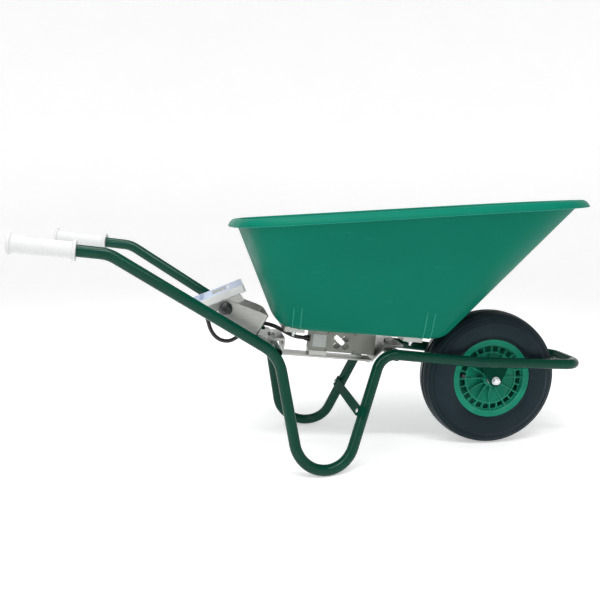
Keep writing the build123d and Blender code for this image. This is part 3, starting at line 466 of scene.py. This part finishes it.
def tube_mesh(points, radius_at, sides, closed):
    """Vertices and faces of a tube along points; radius_at gives each station's radius."""
    count = len(points)
    tangents = []
    for i in range(count):
        before = points[i - 1] if closed or i > 0 else points[0]
        after = points[(i + 1) % count] if closed or i < count - 1 else points[-1]
        tangents.append((after - before).normalized())
    side_way = tangents[0].orthogonal().normalized()
    vertices = []
    for i, (point, tangent) in enumerate(zip(points, tangents)):
        side_way = (side_way - tangent * side_way.dot(tangent)).normalized()
        other = tangent.cross(side_way)
        radius = radius_at(i)
        for k in range(sides):
            angle = 2 * math.pi * k / sides
            vertices.append(point + (side_way * math.cos(angle) + other * math.sin(angle)) * radius)
    faces = grid_faces(count, sides, closed)
    if not closed:
        faces.append(tuple(reversed(range(sides))))
        faces.append(tuple(range((count - 1) * sides, count * sides)))
    return vertices, faces


def tilted(origin, tilt, u, v, w):
    """A point given along a plane tilted about Y: u forwards, v left, w up, all metres."""
    forward = Vector((math.cos(tilt), 0.0, -math.sin(tilt)))
    normal = Vector((math.sin(tilt), 0.0, math.cos(tilt)))
    return Vector(origin) + forward * u + Vector((0.0, v, 0.0)) + normal * w


# ---------------------------------------------------------------- cable


def spline_points(route, resolution=14):
    """Points along the smooth line that a route controls."""
    data = bpy.data.curves.new("route", "CURVE")
    data.dimensions = "3D"
    data.resolution_u = resolution
    spline = data.splines.new("NURBS")
    spline.points.add(len(route) - 1)
    for point, place_at in zip(spline.points, route):
        point.co = (*place_at, 1.0)
    spline.order_u = 3
    spline.use_endpoint_u = True
    curve = bpy.data.objects.new("route", data)
    mesh = bpy.data.meshes.new_from_object(curve)
    points = [v.co.copy() for v in mesh.vertices]
    bpy.data.objects.remove(curve)
    bpy.data.curves.remove(data)
    bpy.data.meshes.remove(mesh)
    return points


def make_cable():
    """The black cable from the indicator down, through its bracket and to the load cell."""
    points = spline_points(CABLE_ROUTE)
    vertices, faces = tube_mesh(points, lambda station: CABLE_DIAMETER / 2, CABLE_SIDES, False)
    cable = new_piece("cable", vertices, faces, "cable_black", None)
    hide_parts("load_cell_cable")
    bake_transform(cable)


# ---------------------------------------------------------------- tub


def arc(centre, start, end, count):
    """Points from start to end round a centre, without the last one."""
    centre, start, end = Vector(centre), Vector(start), Vector(end)
    first = math.atan2(start.y - centre.y, start.x - centre.x)
    last = math.atan2(end.y - centre.y, end.x - centre.x)
    radius = (start - centre).length
    angles = [first + (last - first) * i / count for i in range(count)]
    return [centre + Vector((math.cos(a), math.sin(a))) * radius for a in angles]


def line(start, end, count):
    """Points from start to end, without the last one."""
    start, end = Vector(start), Vector(end)
    return [start.lerp(end, i / count) for i in range(count)]


def tub_outline(rear, front, rear_half, front_half, bulge, rear_radius, front_radius):
    """One level's outline: a bulging back, straight sides and a round front. All metres."""
    big = (rear_half ** 2 + bulge ** 2) / (2 * bulge)
    middle = Vector((rear + big, 0.0))
    corner = Vector((rear + bulge, rear_half))
    run = (Vector((front, front_half)) - corner).normalized()
    inwards = Vector((run.y, -run.x))
    offset = corner + inwards * rear_radius - middle
    reach = offset.dot(run)
    travel = -reach - math.sqrt(reach ** 2 - offset.length_squared + (big - rear_radius) ** 2)
    rear_centre = corner + inwards * rear_radius + run * travel
    on_back = middle + (rear_centre - middle).normalized() * big
    on_side = corner + run * travel
    ahead = (front - front_radius - corner.x - inwards.x * front_radius) / run.x
    front_centre = corner + inwards * front_radius + run * ahead
    side_end = corner + run * ahead
    tip = Vector((front, front_centre.y))
    half = arc(middle, (rear, 1e-9), on_back, 10) + arc(rear_centre, on_back, on_side, 14)
    half += line(on_side, side_end, 24) + arc(front_centre, side_end, tip, 18)
    half += line(tip, (front, 0.0), 4)
    nose = Vector((front, 0.0))
    mirrored = [Vector((p.x, -p.y)) for p in reversed(half[1:])]
    return half + [nose] + mirrored


def grown_outline(outline, grow):
    """One of the tub's outlines, grown outwards; its bulge stays."""
    rear, front, rear_half, front_half, bulge, rear_radius, front_radius = outline
    ends = (rear - grow, front + grow, rear_half + grow, front_half + grow)
    return tub_outline(*ends, bulge, rear_radius + grow, front_radius + grow)


def rim_loop(grow, level):
    """The tub's outline at the rim, grown outwards, at a level above the rim's top."""
    outline = grown_outline(RIM_OUTLINE, grow / 1000)
    return [tilted(RIM_PLACE, RIM_TILT, p.x, p.y, level / 1000) for p in outline]


def floor_loop(grow, level):
    """The tub's outline at the floor, grown outwards, at a level above the deck."""
    outline = grown_outline(FLOOR_OUTLINE, grow / 1000)
    return [tilted(DECK_PLACE, DECK_TILT, p.x, p.y, level / 1000) for p in outline]


def wall_rows(grow, floor_level, rim_level, turn=26.0, steps=18):
    """Rows of points from the floor's edge, round its corner and up the wall."""
    flat = floor_loop(grow - turn, floor_level)
    corner = floor_loop(grow, floor_level)
    top = rim_loop(grow, rim_level)
    rows = []
    up = [(t - c).normalized() * turn / 1000 + c for c, t in zip(corner, top)]
    for step in range(9):
        t = step / 8
        near, middle, far = (1 - t) ** 2, 2 * t * (1 - t), t ** 2
        rows.append([f * near + c * middle + u * far for f, c, u in zip(flat, corner, up)])
    for step in range(1, steps + 1):
        rows.append([u.lerp(p, step / steps) for u, p in zip(up, top)])
    return rows


def make_tub():
    """The moulded tub: rounded floor, sloping walls and a rolled rim with a skirt."""
    rows = wall_rows(-5.0, 5.0, -4.0)
    rim = [(-4.1, -1.1), (-2.0, 0.0), (1.5, 0.0), (4.8, -0.3), (8.6, -1.6), (12.4, -4.0), (15.8, -7.2)]
    rim += [(18.8, -11.0), (20.9, -14.6), (21.8, -16.6), (22.0, -18.4), (21.6, -19.6), (20.4, -20.0)]
    rim += [(19.0, -19.4), (17.2, -15.6), (14.6, -11.8), (11.4, -8.6), (7.6, -6.2), (3.6, -5.2), (1.2, -6.0)]
    rows += [rim_loop(grow, level) for grow, level in rim]
    rows += list(reversed(wall_rows(0.0, 0.2, -8.0)))
    columns = len(rows[0])
    vertices = [p for row in rows for p in row]
    faces = grid_faces(len(rows), columns)
    faces.append(tuple(reversed(range(columns))))
    faces.append(tuple(range((len(rows) - 1) * columns, len(rows) * columns)))
    tub = new_piece("tub_shell", vertices, faces, "tub_green", "frame", 40.0)
    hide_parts("tub")


def wall_point(row, x, side):
    """Where a row of the wall crosses a station x, on one side."""
    for before, after in zip(row[1:], row[2:76]):
        if before.x <= x <= after.x:
            found = before.lerp(after, (x - before.x) / max(after.x - before.x, 1e-9))
            return Vector((x, side * found.y, found.z))
    return None


def make_tub_ribs():
    """Pairs of thin moulded ribs that stiffen the wall's foot above each bearer."""
    rows = wall_rows(0.0, 0.2, -8.0)[1:12]
    for pair, stations in RIB_STATIONS.items():
        for number, x in enumerate(stations):
            for side in (-1, 1):
                points = [wall_point(row, x, side) for row in rows]
                points = [p for p in points if p is not None]
                last = len(points) - 1
                vertices, faces = tube_mesh(points, lambda i: 0.0007 if i in (0, last) else 0.0019, 10, False)
                name = f"tub_rib_{pair}_{number + 1}_{'left' if side > 0 else 'right'}"
                new_piece(name, vertices, faces, "tub_green", "frame")


# ---------------------------------------------------------------- wheel


def tyre_profile():
    """The tyre's section as (radius, place along the axle): beads, sidewalls and ribbed tread."""
    half = [(0.1172, 0.0386), (0.1176, 0.0428), (0.1194, 0.0446), (0.122, 0.0449), (0.1236, 0.0462)]
    half += [(0.129, 0.0481), (0.136, 0.0492), (0.1435, 0.0497), (0.151, 0.0499), (0.1585, 0.0499)]
    half += [(0.163, 0.0496), (0.1642, 0.0499), (0.1665, 0.0497), (0.1677, 0.0488), (0.172, 0.0479)]
    half += [(0.1768, 0.0465), (0.1778, 0.0452), (0.1795, 0.0449), (0.1808, 0.0459), (0.185, 0.0443)]
    half += [(0.1885, 0.0424), (0.1893, 0.0404), (0.1908, 0.0396), (0.1922, 0.0398), (0.1939, 0.0375)]
    for low, high in ((0.0346, 0.0242), (0.0202, 0.0062)):
        outer = [0.2 - 0.0000135 * (1000 * y) ** 2 / 2.8 for y in (low, high)]
        half += [(outer[0] - 0.0004, low + 0.0006), (outer[0], low), (outer[1], high)]
        half += [(outer[1] - 0.0005, high - 0.0007), (outer[1] - 0.0038, high - 0.0013)]
        half += [(outer[1] - 0.0038, high - 0.0031 if high > 0.01 else 0.0)]
    mirrored = [(r, -y) for r, y in reversed(half[:-1])]
    inside = [(0.1174, -0.0382), (0.1035, -0.0382), (0.1024, -0.036), (0.1024, -0.0272), (0.11, -0.028)]
    inside += [(0.128, -0.041), (0.158, -0.0445), (0.183, -0.036), (0.1915, 0.0), (0.183, 0.036)]
    inside += [(0.158, 0.0445), (0.128, 0.041), (0.11, 0.028), (0.1024, 0.0272)]
    inside += [(0.1024, 0.036), (0.1035, 0.0382)]
    return half + mirrored + inside


def make_tyre():
    """The tyre, turned about the axle."""
    tyre = lathe("tyre_rubber_ring", tyre_profile(), AXLE, (0, 1, 0), "tyre_black", "wheel", 240)
    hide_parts("tyre")


def make_tyre_pips(count=48):
    """Small moulding pips round each sidewall."""
    vertices, faces = [], []
    for side in (-1, 1):
        for i in range(count):
            angle = 2 * math.pi * (i + 0.3 * (i % 3)) / count
            radius = 0.146 + 0.008 * (i % 2)
            out = Vector((math.cos(angle), 0.0, math.sin(angle)))
            foot = AXLE + out * radius + Vector((0.0, side * 0.0495, 0.0))
            tip = foot + Vector((0.0, side * 0.0005, 0.0))
            ring, cap = tube_mesh([foot, tip], lambda k: 0.0007 - 0.0002 * k, 6, False)
            faces += [tuple(index + len(vertices) for index in face) for face in cap]
            vertices += ring
    new_piece("tyre_pips", vertices, faces, "tyre_black", "wheel")


# ---------------------------------------------------------------- grips


def grip_profile():
    """Half of a grip's outline as (radius, place along it): flanges, waist and shallow grooves."""
    outer = [(0.0, 0.0002, 0.0), (0.0255, 0.0002, 0.0016), (0.0266, 0.0028, 0.001), (0.0266, 0.0062, 0.0015)]
    outer += [(0.0222, 0.0092, 0.002), (0.0207, 0.015, 0.003)]
    for start in range(24, 128, 8):
        y = start / 1000
        outer += [(0.0206, y - 0.0012, 0.0006), (0.0201, y, 0.0008), (0.0206, y + 0.0012, 0.0006)]
    outer += [(0.0207, 0.136, 0.003), (0.0222, 0.1418, 0.002), (0.0266, 0.1448, 0.0015)]
    outer += [(0.0266, 0.1486, 0.001), (0.0252, 0.1508, 0.001), (0.0152, 0.1508, 0.0008)]
    outer += [(0.0152, 0.0042, 0.0), (0.0, 0.0042, 0.0)]
    return rounded_profile(outer, 3)


def make_grips():
    """The two white grips on the handles' ends."""
    for side, word in ((-1, "right"), (1, "left")):
        end = Vector((HANDLE_END[0], side * HANDLE_END[1], HANDLE_END[2]))
        bend = Vector((HANDLE_BEND[0], side * HANDLE_BEND[1], HANDLE_BEND[2]))
        ahead = (bend - end).normalized()
        name = f"{word}_grip_cover"
        grip = lathe(name, grip_profile(), end - ahead * 0.004, ahead, "grip_white", "frame", 96, False)
        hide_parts(f"{word}_grip")


# ---------------------------------------------------------------- welds


def surface_of(name):
    """A CAD node's surface, for casting rays at."""
    mesh = nodes[name].data
    return BVHTree.FromPolygons([v.co for v in mesh.vertices], [tuple(p.vertices) for p in mesh.polygons])


def make_bead(name, points, closed, thickness=0.0024):
    """A weld bead along points, rippled as the torch leaves it."""
    dense = []
    count = len(points)
    for i in range(count if closed else count - 1):
        dense += [points[i].lerp(points[(i + 1) % count], k / 3) for k in range(3)]
    if not closed:
        dense.append(points[-1])
    last = len(dense) - 1

    def radius_at(i):
        ripple = 0.84 + 0.16 * abs(math.sin(i * 0.62)) + 0.06 * math.sin(i * 0.171 + count)
        ends = 1.0 if closed or 0 < i < last else 0.35
        return thickness * ripple * ends

    vertices, faces = tube_mesh(dense, radius_at, 10, closed)
    new_piece(name, vertices, faces, "frame_green", "frame", 60.0)


def weld_cross_tube(name, where, side):
    """The bead where a cross tube meets a side tube."""
    word = "left" if side > 0 else "right"
    target = surface_of(f"{word}_frame_tube")
    points = []
    for i in range(BEAD_STATIONS):
        angle = 2 * math.pi * i / BEAD_STATIONS
        x = where[0] + TUBE_RADIUS * math.cos(angle)
        z = where[1] + TUBE_RADIUS * math.sin(angle)
        start = Vector((x, 0.0, z))
        hit = target.ray_cast(start, Vector((0.0, side, 0.0)))[0]
        if hit is not None:
            points.append(hit)
    make_bead(f"{name}_weld_{word}", points, len(points) == BEAD_STATIONS)


def weld_bracket(side):
    """Beads along both faces of an axle bracket, under the nose tube."""
    word = "left" if side > 0 else "right"
    target = surface_of("nose_tube")
    for face, y in (("inner", 0.0632), ("outer", 0.0698)):
        points = []
        for i in range(40):
            start = Vector((AXLE.x - 0.042 + 0.078 * i / 39, side * y, AXLE.z + 0.012))
            hit = target.ray_cast(start, Vector((0.0, 0.0, 1.0)))[0]
            if hit is not None:
                points.append(hit)
        if len(points) > 3:
            make_bead(f"{word}_bracket_weld_{face}", points, False, 0.002)


def weld_nose(side):
    """The butt weld that joins the nose tube to a side tube."""
    joint = Vector((NOSE_JOINT[0], side * NOSE_JOINT[1], NOSE_JOINT[2]))
    back = Vector((FRONT_LEG_BEND[0], side * FRONT_LEG_BEND[1], FRONT_LEG_BEND[2])) - joint
    ahead = Vector((NOSE_CORNER[0], side * NOSE_CORNER[1], NOSE_CORNER[2])) - joint
    axis = (ahead.normalized() - back.normalized()).normalized()
    across = axis.orthogonal().normalized()
    beside = axis.cross(across)
    points = []
    for i in range(BEAD_STATIONS):
        angle = 2 * math.pi * i / BEAD_STATIONS
        points.append(joint + (across * math.cos(angle) + beside * math.sin(angle)) * (TUBE_RADIUS - 0.0004))
    make_bead(f"nose_weld_{'left' if side > 0 else 'right'}", points, True, 0.0015)


def make_welds():
    """Every weld on the frame."""
    for side in (-1, 1):
        weld_cross_tube("rear_cross", REAR_CROSS, side)
        weld_cross_tube("front_cross", FRONT_CROSS, side)
        weld_bracket(side)
        weld_nose(side)


# ---------------------------------------------------------------- indicator details


def head_slab(name, u, v, w, slot, rounding=0.0015):
    """A thin plate on the indicator's face, with rounded corners, between pairs of values."""
    outline = []
    for cu, cv, start in ((u[1], v[1], 0), (u[0], v[1], 90), (u[0], v[0], 180), (u[1], v[0], 270)):
        inner_u = cu - math.copysign(rounding, cu - sum(u) / 2)
        inner_v = cv - math.copysign(rounding, cv - sum(v) / 2)
        for step in range(5):
            angle = math.radians(start + 22.5 * step)
            outline.append((inner_u + rounding * math.cos(angle), inner_v + rounding * math.sin(angle)))
    count = len(outline)
    vertices = [tilted(HEAD_PLACE, HEAD_TILT, a, b, level) for level in w for a, b in outline]
    faces = grid_faces(2, count)
    faces += [tuple(reversed(range(count))), tuple(range(count, 2 * count))]
    return new_piece(name, vertices, faces, slot, "indicator_head")


def make_label_strip():
    """The blank white strip above the display."""
    head_slab("label_strip", (0.1035, 0.1095), (-0.045, 0.045), (-0.0002, 0.0004), "housing_white")


# ---------------------------------------------------------------- studio


def soft_light(name, place_at, aim, size, power):
    """A large soft lamp aimed at a point."""
    data = bpy.data.lights.new(name, "AREA")
    data.shape = "RECTANGLE"
    data.size, data.size_y = size
    data.energy = power
    lamp = bpy.data.objects.new(name, data)
    bpy.context.scene.collection.objects.link(lamp)
    way = Vector(aim) - Vector(place_at)
    lamp.matrix_world = Matrix.Translation(place_at) @ way.to_track_quat("-Z", "Y").to_matrix().to_4x4()


def floor_material():
    """Pale matt floor."""
    made = start_material("floor", 0.9, Emission_Color=(1.0, 1.0, 1.0, 1.0), Emission_Strength=0.4)
    pale = [(0.3, (0.86, 0.86, 0.86)), (0.7, (0.88, 0.88, 0.88))]
    set_input(made, "Base Color", ramp(made, noise(made, 1.5), pale))
    return made


def make_floor():
    """A pale floor that curves up far behind the barrow on every side."""
    rows, columns = [], 96
    section = ((0.0001, 0.0), (3.0, 0.0), (5.0, 0.0), (6.0, 0.12), (7.0, 0.6), (7.6, 1.6), (7.8, 4.0))
    for radius, height in section:
        for i in range(columns):
            angle = 2 * math.pi * i / columns
            rows.append((radius * math.cos(angle), radius * math.sin(angle), height))
    mesh = bpy.data.meshes.new("floor")
    mesh.from_pydata(rows, [], grid_faces(len(section), columns))
    mesh.polygons.foreach_set("use_smooth", [True] * len(mesh.polygons))
    mesh.materials.append(floor_material())
    floor = bpy.data.objects.new("floor", mesh)
    bpy.context.scene.collection.objects.link(floor)


def make_world():
    """Even white light from all round."""
    world = bpy.data.worlds.new("studio")
    world.use_nodes = True
    world.node_tree.nodes["Background"].inputs["Color"].default_value = (1.0, 1.0, 1.0, 1.0)
    world.node_tree.nodes["Background"].inputs["Strength"].default_value = 0.3
    bpy.context.scene.world = world
    bpy.context.scene.view_settings.view_transform = "Standard"


def make_studio():
    """Floor, surroundings and lamps."""
    make_world()
    make_floor()
    soft_light("overhead", (-0.3, -0.3, 3.0), (0.0, 0.0, 0.4), (2.6, 1.2), 60.0)
    soft_light("strip", (-0.2, -1.5, 2.4), (0.0, 0.0, 0.4), (3.4, 0.12), 40.0)
    soft_light("side", (-2.2, -2.6, 2.2), (0.0, 0.0, 0.3), (1.4, 1.2), 16.0)


# ---------------------------------------------------------------- build


def dress_cad_nodes():
    """Gives every CAD node its slot's finish."""
    for part in frame["record"]["subparts"]:
        piece = nodes[part["node"]]
        finish = materials[part["material_slot"]]
        if not piece.material_slots:
            piece.data.materials.append(finish)
        for slot in piece.material_slots:
            slot.material = finish
    matt = frame_paint("matt_paint", 0.03, (0.5, 0.7))
    for name in ("leg_brace", "right_axle_bracket", "left_axle_bracket"):
        nodes[name].material_slots[0].material = matt


make_camera()
materials = make_materials()
dress_cad_nodes()
make_cable()
make_tub()
make_tub_ribs()
make_tyre()
make_tyre_pips()
make_grips()
make_welds()
make_label_strip()
make_studio()
